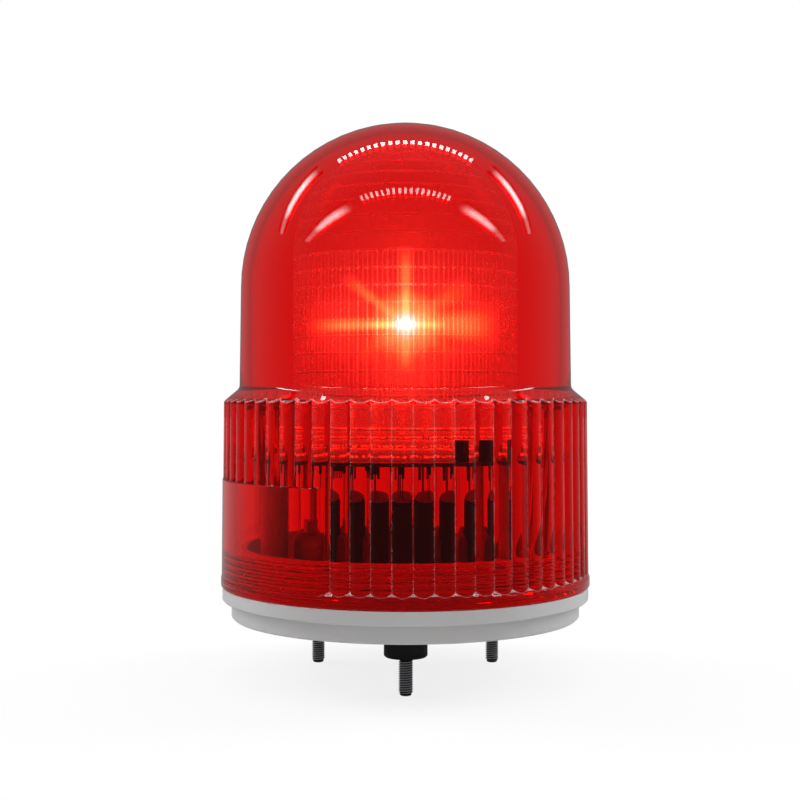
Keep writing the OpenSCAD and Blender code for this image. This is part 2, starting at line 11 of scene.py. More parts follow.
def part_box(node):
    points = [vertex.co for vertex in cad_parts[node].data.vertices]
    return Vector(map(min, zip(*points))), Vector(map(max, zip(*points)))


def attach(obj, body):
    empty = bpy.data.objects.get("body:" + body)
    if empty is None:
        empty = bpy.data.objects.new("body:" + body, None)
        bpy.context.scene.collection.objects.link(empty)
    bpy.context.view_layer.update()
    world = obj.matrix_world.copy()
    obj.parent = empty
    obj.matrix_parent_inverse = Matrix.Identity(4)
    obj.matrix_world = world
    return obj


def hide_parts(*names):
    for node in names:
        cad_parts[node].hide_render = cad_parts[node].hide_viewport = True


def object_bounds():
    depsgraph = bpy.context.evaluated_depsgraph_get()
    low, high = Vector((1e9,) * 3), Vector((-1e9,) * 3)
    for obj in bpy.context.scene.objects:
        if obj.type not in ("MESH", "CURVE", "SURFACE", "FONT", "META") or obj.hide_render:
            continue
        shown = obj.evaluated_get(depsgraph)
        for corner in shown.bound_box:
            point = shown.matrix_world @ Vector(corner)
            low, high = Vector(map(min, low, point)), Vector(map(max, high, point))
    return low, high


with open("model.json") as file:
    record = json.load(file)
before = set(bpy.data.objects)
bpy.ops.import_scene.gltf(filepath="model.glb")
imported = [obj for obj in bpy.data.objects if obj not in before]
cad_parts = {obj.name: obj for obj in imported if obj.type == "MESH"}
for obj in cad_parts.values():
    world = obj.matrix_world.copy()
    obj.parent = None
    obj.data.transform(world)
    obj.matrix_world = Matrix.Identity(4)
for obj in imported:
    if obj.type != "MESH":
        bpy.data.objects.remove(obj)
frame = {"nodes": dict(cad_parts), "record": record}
cad_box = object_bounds()

bl_info = {
    "name": "Sounder beacon",
    "version": (1, 0, 0),
    "blender": (4, 5, 0),
    "location": "View3D > Sidebar > Beacon",
    "description": "Models the small parts of a sounder beacon and gives every part its finish",
    "category": "Object",
}

MM = 0.001
HOUSING, COVER = "housing", "cover"
# Faces that meet at less than this angle are shaded as one.
SMOOTH_BELOW = math.radians(35)
# Distance within which an edge counts as lying in a face, and overlap of shapes that are joined.
NEAR, OVERLAP = 0.1 * MM, 0.3 * MM
# Screw heads: radius, height and rounding of a head, radius of the shank and reach of the cross.
HEAD_R, HEAD_H, HEAD_ROUND, SHANK_R, CROSS_REACH = 3.4 * MM, 2.4 * MM, 1.2 * MM, 1.9 * MM, 1.9 * MM
# Setting of a Map Range node that climbs softly from nought at one value to one at another.
SOFT = {"interpolation_type": "SMOOTHSTEP"}
# Floor: width in metres and gap under the lowest point. Softboxes: place of the right one and size.
FLOOR_WIDTH, FLOOR_GAP = 12, 0.2 * MM
BOX_PLACE, BOX_WIDTH, BOX_HEIGHT, BOX_AIM = (0.95, 0.3, 0.45), 0.45, 0.7, (0, 0, 0.12)
# Lamp bars: height over the fixing face and places of the tubes before and behind the axis, in metres.
BAR_HEIGHT, TUBE_FRONT, TUBE_BACK = 0.76, -0.375, 0.29
TUBE_MIDDLE, TUBE_LENGTH, TUBE_WIDTH = 0.86, 0.9, 0.2
# Rows of small emitters: depth, count, half length, and width and depth of one, in metres.
EMITTERS = ((0.2, 21, 0.3, (0.017, 0.066)), (-0.33, 17, 0.3, (0.017, 0.06)))
# Camera of the picture: place in metres, tilt in radians, focal length in mm on a 36 mm sensor.
CAMERA_PLACE, CAMERA_TILT, CAMERA_FOCAL, CAMERA_SENSOR = (-0.0024, -0.623, 0.1127), -0.008, 61.47, 36.0
# Depth of a ray before its first bounce, and the number of reflections after which a wall is given a painted
# glow that stands in for light caught in it.
UNTOUCHED, CAUGHT = 0.5, 1.5
# Tint of the globe's wall per metre, and strength of the glow painted on the globe and on the lens where
# light would be caught in them.
WALL_DENSITY, GLOBE_GLOW, LENS_GLOW = 760.0, 0.035, 0.12
# Height of the centre of the glow painted on the lens where the lit LED's image would be, and of the lowest
# row of painted glints, in mm.
LIT_Z, GLINT_Z = 139.4, 88.4
# Painted glow round that centre: strength and width in mm of its core and haze, and strength and ends of its
# halo.
HAZE, HALO, HALO_END, HALO_FULL = ((26.0, 2), (0.7, 13)), 4.5, 17 * MM, 5 * MM
# Painted rays on the lit lens: angle from +X in degrees, reach and half width in mm, flare and strength.
STAR = (
    (0, 40, 5.5, 0.12, 4.0), (180, 42, 3.0, 0.02, 5.4), (90, 34, 3.0, 0.02, 4.2), (270, 21, 3.0, 0.02, 4.2),
    (141, 34, 2.6, 0.03, 2.8), (33, 34, 3.4, 0.12, 1.2), (215, 26, 3.0, 0.1, 0.7), (-32, 26, 3.0, 0.1, 0.8),
    (180, 46, 17, 0, 0.3), (0, 44, 17, 0, 0.3), (0, 18, 2.4, 0, 7.5), (180, 18, 2.4, 0, 7.5),
    (90, 17, 2.4, 0, 6.0),
)


class Globe:
    """Sizes of the globe, in millimetres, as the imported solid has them"""
    rim_z, rim_r, rim_h, rim_slope, rim_round = 24.8, 83.4, 3.6, 0.64, 3.1
    crest, draft, skirt_h = 82.9, 0.8, 82.5
    shoulder_z, shoulder_r, foot_z, foot_r = 107.3, 82.1, 113.1, 75.05
    dome_z, dome_r, wall, bore = 158.3, 74.4, 4.5, 76.6
    reeds, first, reed_r, groove, groove_turn = 60, -1.0, 6.444, 0.3, 0.25
    panel_h, panel_lift, panel_from, panel_to = 48.0, 0.25, -109.0, -25.0
    thread_pitch, thread_depth, thread_top, cone_drop = 3.0, 0.6, 42.0, 0.8
    thread_run, lip_cut, lip_h, panel_ease, panel_fall = 1.5, 0.5, 0.45, 0.1, 6
    reed_end, crowding = 0.98, 1.35
    round_reed, round_rim, round_panel, round_shoulder, round_foot = 0.35, 0.3, 0.1, 0.9, 1.6


def linear(hex_colour):
    """Turns an sRGB hex colour into linear red, green, blue and alpha."""
    parts = [int(hex_colour[i:i + 2], 16) / 255 for i in (1, 3, 5)]
    return tuple(c / 12.92 if c <= 0.04045 else ((c + 0.055) / 1.055) ** 2.4 for c in parts) + (1.0,)


def colour(name, description, default):
    """Colour that a user can change."""
    return bpy.props.FloatVectorProperty(
        name=name, description=description, subtype="COLOR", size=4, min=0, max=1, default=linear(default))


def length(name, description, default_mm):
    """Length that a user can change, given here in millimetres."""
    return bpy.props.FloatProperty(
        name=name, description=description, unit="LENGTH", precision=5, default=default_mm * MM)


def level(name, description, default, unit="NONE"):
    """Strength or power of a lamp that a user can change."""
    return bpy.props.FloatProperty(name=name, description=description, unit=unit, default=default, min=0)


class BeaconSizes(bpy.types.PropertyGroup):
    """Sizes of the parts that are modelled here"""
    collar_pitch: length("Collar pitch", "Rise of the collar's thread in one turn", 3)
    collar_crest: length("Collar crest", "Height of the collar's thread above its root", 0.95)
    bolt_pitch: length("Bolt pitch", "Rise of the bolts' thread in one turn", 1)
    bolt_depth: length("Bolt thread depth", "Depth of the bolts' thread", 0.55)
    recess_w: length("Cross width", "Width of the cross in a screw head", 0.9)
    recess_depth: length("Cross depth", "Depth of the cross in a screw head", 1.2)
    led_cup: length("LED cup", "Depth of the cup in an LED's body", 0.35)


class BeaconColours(bpy.types.PropertyGroup):
    """Colours of the beacon's materials"""
    globe: colour("Globe", "Red that the globe's wall lets through", "#FF0604")
    base: colour("Base", "Light grey of the base", "#B4B5B5")
    dark_grey: colour("Dark grey", "Grey of the pillars and the cradle", "#7E7F80")
    black: colour("Black", "Black of the sounder and the sockets", "#0E0E10")
    rubber: colour("Rubber", "Black of the bushes, the seal and the grommet", "#141316")
    board: colour("Board", "Solder mask of the circuit board", "#14532D")
    lamp: colour("Lamp", "Light of the LED that is lit", "#FFF4E0")
    # Colour of the glow painted on the lens round the lit LED.
    glow: colour("Glow", "Light that the lens spreads round the lit LED", "#FFDC74")


class BeaconLight(bpy.types.PropertyGroup):
    """Light of the studio"""
    ambient: level("Ambient", "Strength of the even light from all round", 0.55)
    side: level("Side boxes", "Power of each side softbox", 7.0, "POWER")
    top: level("Top bars", "Brightness of the bars over the dome", 18.0)
    lamp: level("LED", "Strength of the lit LED", 260.0)


def sizes():
    return bpy.context.scene.beacon_sizes


def colours():
    return bpy.context.scene.beacon_colours


def light():
    return bpy.context.scene.beacon_light


def deselect():
    """Leaves edit mode and selects nothing, so that an operator acts on the new piece alone."""
    if bpy.context.object and bpy.context.object.mode != "OBJECT":
        bpy.ops.object.mode_set(mode="OBJECT")
    bpy.ops.object.select_all(action="DESELECT")


def activate(piece):
    """Makes a piece the one that operators act on."""
    deselect()
    piece.select_set(True)
    bpy.context.view_layer.objects.active = piece


def pick(kind, test):
    """Selects the vertices, edges or faces whose middle passes the test, in edit mode."""
    mesh = bpy.context.object.data
    edit = bmesh.from_edit_mesh(mesh)
    bpy.ops.mesh.select_mode(type={"verts": "VERT", "edges": "EDGE", "faces": "FACE"}[kind])
    bpy.ops.mesh.select_all(action="DESELECT")
    for part in getattr(edit, kind):
        corners = [part] if kind == "verts" else part.verts
        if test(sum((corner.co for corner in corners), Vector()) / len(corners)):
            part.select_set(True)
    edit.select_flush_mode()
    bmesh.update_edit_mesh(mesh)


def edit_mode():
    bpy.ops.object.mode_set(mode="EDIT")


def object_mode():
    bpy.ops.object.mode_set(mode="OBJECT")


def modify(piece, kind, **settings):
    """Adds a modifier with its settings and applies it."""
    made = piece.modifiers.new(kind.title(), kind)
    for field, value in settings.items():
        setattr(made, field, value)
    activate(piece)
    bpy.ops.object.modifier_apply(modifier=made.name)


def cylinder(radius, low, high, sides=48):
    """Upright cylinder on the axis, to be shaped further."""
    deselect()
    bpy.ops.mesh.primitive_cylinder_add(
        vertices=sides, radius=radius, depth=high - low, location=(0, 0, (low + high) / 2))
    bpy.ops.object.transform_apply()
    return bpy.context.object


def block(low, high):
    """Box between two corners, to be shaped further."""
    deselect()
    low, high = Vector(low), Vector(high)
    bpy.ops.mesh.primitive_cube_add(size=1, location=(low + high) / 2)
    bpy.context.object.scale = high - low
    bpy.ops.object.transform_apply()
    return bpy.context.object


def bevel(piece, test, width, segments=3):
    """Rounds the edges whose middle passes the test."""
    activate(piece)
    edit_mode()
    pick("edges", test)
    bpy.ops.mesh.bevel(offset=width, segments=segments, affect="EDGES", clamp_overlap=True)
    object_mode()


def cut(piece, tool):
    """Takes the tool's shape out of the piece and deletes the tool."""
    modify(piece, "BOOLEAN", operation="DIFFERENCE", solver="EXACT", object=tool)
    bpy.data.objects.remove(tool)


def join(pieces):
    """Makes one object of several."""
    deselect()
    for piece in pieces:
        piece.select_set(True)
    bpy.context.view_layer.objects.active = pieces[0]
    if len(pieces) > 1:
        bpy.ops.object.join()
    return bpy.context.object


def copies(piece, matrices):
    """Copies a modelled piece to each place, joins the copies and deletes the first."""
    made = []
    for matrix in matrices:
        copy = bpy.data.objects.new(piece.name, piece.data.copy())
        copy.data.transform(matrix)
        bpy.context.scene.collection.objects.link(copy)
        made.append(copy)
    bpy.data.objects.remove(piece)
    return join(made)


def turned(angle, radius=0.0, height=0.0):
    """Matrix that moves a piece to a radius at an angle from the front, positive towards +X."""
    return Matrix.Rotation(math.radians(angle), 4, "Z") @ Matrix.Translation((0, -radius, height))


def settle(piece, name, body, finish, replaces=()):
    """Names a modelled piece, smooths it, gives it its finish and puts it on its body."""
    piece.name = name
    piece.data.name = name
    activate(piece)
    bpy.ops.object.shade_smooth_by_angle(angle=SMOOTH_BELOW)
    piece.data.materials.clear()
    piece.data.materials.append(finish)
    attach(piece, body)
    if replaces:
        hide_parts(*replaces)


def thread_ridge(root, crest, pitch, low, high, sides, flank=0.42, flat=0.14, runout=0.35, sunk=0.3):
    """Closed ridge that climbs round the axis; its foot is sunk in the core that carries it."""
    foot = root - sunk * (crest - root)
    deselect()
    bpy.ops.mesh.primitive_plane_add(
        size=1, rotation=(math.pi / 2, 0, 0), location=((foot + crest) / 2, 0, low))
    ridge = bpy.context.object
    ridge.scale = (crest - foot, 2 * flank * pitch, 1)
    bpy.ops.object.transform_apply()
    edit_mode()
    pick("verts", lambda p: p.x > (foot + crest) / 2)
    bpy.ops.transform.resize(value=(1, 1, flat / flank), center_override=(crest, 0, low))
    bpy.ops.mesh.select_all(action="SELECT")
    bpy.ops.mesh.delete(type="ONLY_FACE")
    object_mode()
    turns = max(1, round((high - low) / pitch))
    modify(ridge, "SCREW", axis="Z", angle=2 * math.pi, iterations=turns, screw_offset=pitch,
           steps=sides, render_steps=sides, use_smooth_shade=True)
    edit_mode()
    bpy.ops.mesh.select_all(action="SELECT")
    bpy.ops.mesh.remove_doubles(threshold=1e-7)
    bpy.ops.mesh.fill_holes(sides=6)
    bpy.ops.mesh.select_all(action="SELECT")
    bpy.ops.mesh.normals_make_consistent(inside=False)
    object_mode()
    for vertex in ridge.data.vertices:
        turn = min(vertex.co.z - low, low + turns * pitch - vertex.co.z) / pitch
        share = min(1.0, max(0.0, turn / runout))
        radius = math.hypot(vertex.co.x, vertex.co.y)
        squeeze = (foot + (radius - foot) * share) / radius
        vertex.co.x *= squeeze
        vertex.co.y *= squeeze
    # Height from the foot to the crest, which a finish reads to paint shade in the roots and highlight on
    # the crests.
    mark = ridge.data.attributes.new("crest", "FLOAT", "POINT")
    for vertex in ridge.data.vertices:
        mark.data[vertex.index].value = (math.hypot(vertex.co.x, vertex.co.y) - foot) / (crest - foot)
    return ridge


def add(tree, kind, inputs=(), stops=(), **settings):
    """Adds one node with its settings, colour stops and inputs; an input is a value, a socket or a node."""
    made = tree.nodes.new("ShaderNode" + kind)
    for field, value in settings.items():
        setattr(made, field, value)
    for i, (position, tone) in enumerate(stops):
        elements = made.color_ramp.elements
        stop = elements[i] if i < 2 else elements.new(position)
        stop.position, stop.color = position, tone if isinstance(tone, tuple) else (tone, tone, tone, 1)
    for socket, value in inputs.items() if isinstance(inputs, dict) else enumerate(inputs):
        if isinstance(value, bpy.types.Node):
            value = next(output for output in value.outputs if output.enabled)
        if isinstance(value, bpy.types.NodeSocket):
            tree.links.new(value, made.inputs[socket])
        else:
            made.inputs[socket].default_value = value
    return made


def material(name):
    """New material, emptied, with the function that adds its nodes and its Object coordinates."""
    made = bpy.data.materials.new(name)
    made.use_nodes = True
    made.node_tree.nodes.clear()
    node = partial(add, made.node_tree)
    return made, node, node("TexCoord").outputs["Object"]


def per_metre(size_mm):
    """Texture scale whose pattern repeats about once in this many millimetres."""
    return 1 / (size_mm * MM)


def weighted(node, shares):
    """Sum of several shares, each a strength times its factors."""
    total = 0.0
    for strength, factors in shares:
        for factor in factors:
            strength = node("Math", (strength, factor), operation="MULTIPLY")
        total = node("Math", (total, strength), operation="ADD")
    return total


def painted_highlight_share(node, place):
    """Share of the globe's wall painted as white diffuse lines that stand in for highlights: valleys, reed
    tops and the feet of the reeds.
    """
    x, y, z = node("SeparateXYZ", (place,)).outputs
    flat = node("VectorMath", (place, (1, 1, 0)), operation="MULTIPLY")
    radius = node("VectorMath", (flat,), operation="LENGTH")
    ahead = node("Math", (y, -1.0), operation="MULTIPLY")
    angle = node("Math", (x, ahead), operation="ARCTAN2")
    half = math.radians(180 / Globe.reeds)
    shifted = node("Math", (angle, half - math.radians(Globe.first)), operation="ADD")
    off = node("Math", (shifted, half), operation="PINGPONG")
    speck = node("TexNoise", {"Vector": place, "Scale": per_metre(1.6), "Detail": 2.0})
    broken = node("MapRange", (speck, 0.3, 0.6), **SOFT)
    valley = node("MapRange", (off, math.radians(0.2), math.radians(0.05)), **SOFT)
    # The shoulder's cone, just under which the reeds end.
    slope = (Globe.shoulder_r - Globe.foot_r) / (Globe.foot_z - Globe.shoulder_z)
    top = (Globe.shoulder_r + slope * Globe.shoulder_z) * MM
    cone = node("Math", (z, -slope, top), operation="MULTIPLY_ADD")
    under = node("Math", (cone, radius), operation="SUBTRACT")
    edge_low = node("MapRange", (under, 0.06 * MM, 0.2 * MM), **SOFT)
    edge_high = node("MapRange", (under, 0.6 * MM, 0.35 * MM), **SOFT)
    # The reed's round face and the rim's slope, which meet at the foot of each reed.
    middle = (Globe.crest - Globe.reed_r - Globe.draft * Globe.rim_h / Globe.skirt_h) * MM
    turn = node("Math", (half, off), operation="SUBTRACT")
    sine = node("Math", (turn,), operation="SINE")
    cosine = node("Math", (turn,), operation="COSINE")
    square = node("Math", (sine, sine), operation="MULTIPLY")
    left = node("Math", (square, -middle ** 2, (Globe.reed_r * MM) ** 2), operation="MULTIPLY_ADD")
    bulge = node("Math", (left,), operation="SQRT")
    reed = node("Math", (cosine, middle, bulge), operation="MULTIPLY_ADD")
    over = node("Math", (z, (Globe.rim_z + Globe.rim_h) * MM), operation="SUBTRACT", use_clamp=True)
    bend = node("Math", (over, 1.5), operation="POWER")
    fall = Globe.rim_slope * (Globe.rim_round * MM) ** -0.5
    band = node("Math", (bend, -fall, Globe.rim_r * MM), operation="MULTIPLY_ADD")
    proud = node("Math", (band, reed), operation="SUBTRACT")
    gap = node("Math", (proud,), operation="ABSOLUTE")
    crease = node("MapRange", (gap, 0.18 * MM, 0.05 * MM), **SOFT)
    between = node("MapRange", (proud, 0.0, 0.1 * MM), **SOFT)
    raised = node("MapRange", (z, (Globe.rim_z + 5.3) * MM, (Globe.rim_z + 5.6) * MM), **SOFT)
    reeded = node("MapRange", (proud, 0.0, -0.1 * MM), **SOFT)
    # Strengths of the painted highlight lines at the valleys, reed tops, reed feet and creases.
    valleys, edges, corners, creases = 0.12, 0.16, 0.26, 0.07
    total = weighted(node, (
        (valleys, (valley, broken, reeded)), (edges, (edge_low, edge_high)), (corners, (between, raised)),
        (creases, (crease,))))
    # Only the outside of the reeded height has these painted highlight lines, and the panel has none.
    panel = node("Math", (angle, math.radians(Globe.panel_to)), operation="LESS_THAN")
    low = node("Math", (panel, Globe.panel_h * MM, (Globe.rim_z + 4.2) * MM), operation="MULTIPLY_ADD")
    for value, limit, side in (
            (z, low, "GREATER_THAN"), (z, (Globe.shoulder_z + 2) * MM, "LESS_THAN"),
            (radius, (Globe.bore + 2) * MM, "GREATER_THAN")):
        within = node("Math", (value, limit), operation=side)
        total = node("Math", (total, within), operation="MULTIPLY")
    return total


def red_polycarbonate():
    """Moulded polycarbonate: deeper red the longer light is in its wall; white diffuse lines painted on the
    reeds stand in for highlights, and a glow is painted where light would be caught in the reeds.
    """
    made, node, place = material("red_tinted_polycarbonate")
    ripple = node("TexNoise", {"Vector": place, "Scale": per_metre(9), "Detail": 2.0})
    gloss = node("MapRange", {"Value": ripple, "To Min": 0.0, "To Max": 0.02})
    bump = node("Bump", {"Height": ripple, "Strength": 0.04, "Distance": 0.2 * MM})
    # Where the painted highlight lines lie, the wall is white diffuse instead of clear glass.
    unpainted_glass = node("Math", (1.0, painted_highlight_share(node, place)), operation="SUBTRACT")
    path = node("LightPath")
    # Painted glow: the wall emits red where a ray arrives after two or more glossy bounces.
    caught = node("Math", (path.outputs["Glossy Depth"], CAUGHT), operation="GREATER_THAN")
    glow = node("Math", (caught, GLOBE_GLOW), operation="MULTIPLY")
    glass = node("BsdfPrincipled", {
        "Base Color": (1, 1, 1, 1), "Roughness": gloss, "IOR": 1.585, "Transmission Weight": unpainted_glass,
        "Normal": bump, "Emission Color": linear("#FF2020"), "Emission Strength": glow})
    clear = node("BsdfTransparent", {"Color": (1, 1, 1, 1)})
    both = node("MixShader", (path.outputs["Is Shadow Ray"], glass, clear))
    tint = node("VolumeAbsorption", {"Color": colours().globe, "Density": WALL_DENSITY})
    node("OutputMaterial", {"Surface": both, "Volume": tint})
    return made


def decay(node, distance, width_mm):
    """Share that falls from one as a distance grows, to about a third at this width."""
    scaled = node("Math", (distance, -width_mm * MM), operation="DIVIDE")
    return node("Math", (scaled,), operation="EXPONENT")


def lens_glow(node, place):
    """Strength and colour of the glow painted on the lens, standing in for the light that its prisms spread:
    core, halo, rays and glints at the foot.
    """
    y, z = node("SeparateXYZ", (place,)).outputs[1:]
    flat = node("VectorMath", (place, (1, 0, 1), (0, 0, -LIT_Z * MM)), operation="MULTIPLY_ADD")
    away = node("VectorMath", (flat,), operation="LENGTH")
    shares = [(strength, (decay(node, away, width),)) for strength, width in HAZE]
    shares.append((HALO, (node("MapRange", (away, HALO_END, HALO_FULL), **SOFT),)))
    for angle, reach, width, flare, strength in STAR:
        cos, sin = math.cos(math.radians(angle)), math.sin(math.radians(angle))
        along = node("VectorMath", (flat, (cos, 0, sin)), operation="DOT_PRODUCT")
        off = node("VectorMath", (flat, (-sin, 0, cos)), operation="DOT_PRODUCT")
        aside = node("Math", (off,), operation="ABSOLUTE")
        half = node("Math", (along, flare, width * MM), operation="MULTIPLY_ADD")
        spread = node("Math", (aside, half), operation="DIVIDE")
        tip = node("MapRange", (along, reach * MM, 0.55 * reach * MM), **SOFT)
        root = node("MapRange", (along, 0.0, 1.5 * MM), **SOFT)
        shares.append((strength, (tip, root, node("MapRange", (spread, 1.0, 0.0), **SOFT))))
    # Painted glints: dashed rows at the foot of the lens.
    up = node("Math", (z, GLINT_Z * MM), operation="SUBTRACT")
    step = node("Math", (up, 2.1 * MM), operation="PINGPONG")
    row = node("MapRange", (step, 0.5 * MM, 0.15 * MM), **SOFT)
    foot = node("MapRange", (z, 98.5 * MM, 97.5 * MM), **SOFT)
    speck = node("TexNoise", {"Vector": place, "Scale": per_metre(2.2), "Detail": 1.0})
    shares.append((2.0, (row, foot, node("MapRange", (speck, 0.47, 0.6), **SOFT))))
    total = weighted(node, shares)
    front = node("Math", (y, 0.0), operation="LESS_THAN")
    strength = node("Math", (total, front, 0.04), operation="MULTIPLY_ADD")
    near = node("MapRange", (away, 8 * MM, 2 * MM), **SOFT)
    weak = node("MapRange", (total, 0.6, 0.1), **SOFT)
    paler = node("Math", (near, weak), operation="MAXIMUM")
    tone = node("Mix", {0: paler, 6: colours().glow, 7: colours().lamp}, data_type="RGBA")
    return strength, tone


def clear_acrylic():
    """Moulded acrylic: clear and frosted by its fine prisms, with a glow painted on it where they would
    catch and spread the lamp's light.
    """
    made, node, place = material("frosted_acrylic")
    ripple = node("TexNoise", {"Vector": place, "Scale": per_metre(6), "Detail": 2.0})
    gloss = node("MapRange", {"Value": ripple, "To Min": 0.24, "To Max": 0.32})
    strength, tone = lens_glow(node, place)
    path = node("LightPath")
    # Painted glow after two or more glossy bounces, added to the glow painted round the lit LED.
    caught = node("Math", (path.outputs["Glossy Depth"], CAUGHT), operation="GREATER_THAN")
    glow = node("Math", (caught, LENS_GLOW, strength), operation="MULTIPLY_ADD")
    glass = node("BsdfPrincipled", {
        "Base Color": linear("#F7F8F8"), "Roughness": gloss, "IOR": 1.49, "Transmission Weight": 1.0,
        "Emission Color": tone, "Emission Strength": glow})
    clear = node("BsdfTransparent", {"Color": linear("#F7F8F8")})
    both = node("MixShader", (path.outputs["Is Shadow Ray"], glass, clear))
    node("OutputMaterial", {"Surface": both})
    return made


def moulded(name, tone, rough=0.5, grain_mm=0.5, depth_mm=0.05, shade=0.06, ior=1.53):
    """Moulded plastic or rubber: an even tone with a fine spark-eroded grain and slight clouding."""
    made, node, place = material(name)
    # Real eroded grain is about 0.1 mm, too fine to show, so it is drawn as coarse as it needs to be seen.
    cloud = node("TexNoise", {"Vector": place, "Scale": per_metre(25), "Detail": 3.0})
    grain = node("TexNoise", {"Vector": place, "Scale": per_metre(grain_mm), "Detail": 4.0})
    darker = tuple(c * (1 - shade) for c in tone[:3]) + (1.0,)
    lighter = tuple(min(1.0, c * (1 + shade)) for c in tone[:3]) + (1.0,)
    ramp = node("ValToRGB", (cloud,), ((0, darker), (1, lighter)))
    gloss = node("MapRange", {"Value": grain, "To Min": rough - 0.07, "To Max": rough + 0.07})
    bump = node("Bump", {"Height": grain, "Strength": 0.35, "Distance": depth_mm * MM})
    surface = node("BsdfPrincipled", {
        "Base Color": ramp, "Roughness": gloss, "IOR": ior, "Normal": bump})
    node("OutputMaterial", {"Surface": surface})
    return made


def painted_light_above(name, source, upper_tone, level):
    """Copy of a moulded finish that has another tone above a level, painted to stand in for light that falls
    there.
    """
    made = bpy.data.materials[source].copy()
    made.name = name
    tree = made.node_tree
    node = partial(add, tree)
    surface = next(part for part in tree.nodes if part.type == "BSDF_PRINCIPLED")
    place = node("TexCoord").outputs["Object"]
    height = node("SeparateXYZ", (place,)).outputs["Z"]
    upper = node("Math", (height, level), operation="GREATER_THAN")
    lower_tone = surface.inputs["Base Color"].links[0].from_socket
    tone = node("Mix", {0: upper, 6: lower_tone, 7: upper_tone}, data_type="RGBA")
    tree.links.new(tone.outputs[2], surface.inputs["Base Color"])
    return made


def metal(name, tone, rough=0.3, streak_mm=1.2, metallic=1.0, root=None):
    """Bare or plated metal: drawn streaks vary its gloss, and a thread may have painted shade in its roots
    and its lighter tone as painted highlight on its crests.
    """
    made, node, place = material(name)
    # Real drawing lines are too fine to show, so the streaks are drawn as coarse as they need to be seen.
    stretch = node("Mapping", {"Vector": place, "Scale": (1, 1, 0.15)})
    streak = node("TexNoise", {"Vector": stretch, "Scale": per_metre(streak_mm), "Detail": 4.0})
    gloss = node("MapRange", {"Value": streak, "To Min": rough - 0.1, "To Max": rough + 0.12})
    darker = tuple(0.8 * c for c in tone[:3]) + (1.0,)
    base = node("ValToRGB", (streak,), ((0, darker), (1, tone)))
    # Painted shade in a thread's roots, fading to the lighter tone on its crests.
    if root:
        crest = node("Attribute", attribute_name="crest").outputs["Fac"]
        share = node("MapRange", (crest, 0.35, 0.95), **SOFT)
        base = node("Mix", {0: share, 6: root, 7: base}, data_type="RGBA")
    surface = node("BsdfPrincipled", {"Base Color": base, "Roughness": gloss, "Metallic": metallic})
    node("OutputMaterial", {"Surface": surface})
    return made


def printed_board(name, mask, copper):
    """Glass-fibre board under solder mask: glossy, with the lines of its copper showing through."""
    made, node, place = material(name)
    darker = tuple(0.8 * c for c in mask[:3]) + (1.0,)
    track = node("TexBrick", {
        "Vector": place, "Color1": mask, "Color2": darker, "Mortar": copper, "Scale": 1.0,
        "Mortar Size": 0.35 * MM, "Brick Width": 5.08 * MM, "Row Height": 2.54 * MM})
    surface = node("BsdfPrincipled", {"Base Color": track, "Roughness": 0.3, "IOR": 1.55})
    node("OutputMaterial", {"Surface": surface})
    return made


def led_silicone(name, strength):
    """Cast silicone over phosphor: a soft yellow dome that glows when it is lit."""
    made, node, place = material(name)
    speck = node("TexNoise", {"Vector": place, "Scale": per_metre(0.4), "Detail": 2.0})
    ramp = node("ValToRGB", (speck,), ((0, linear("#D9A93C")), (1, linear("#F2D27A"))))
    surface = node("BsdfPrincipled", {
        "Base Color": ramp, "Roughness": 0.25, "IOR": 1.41, "Emission Color": colours().lamp,
        "Emission Strength": strength})
    node("OutputMaterial", {"Surface": surface})
    return made


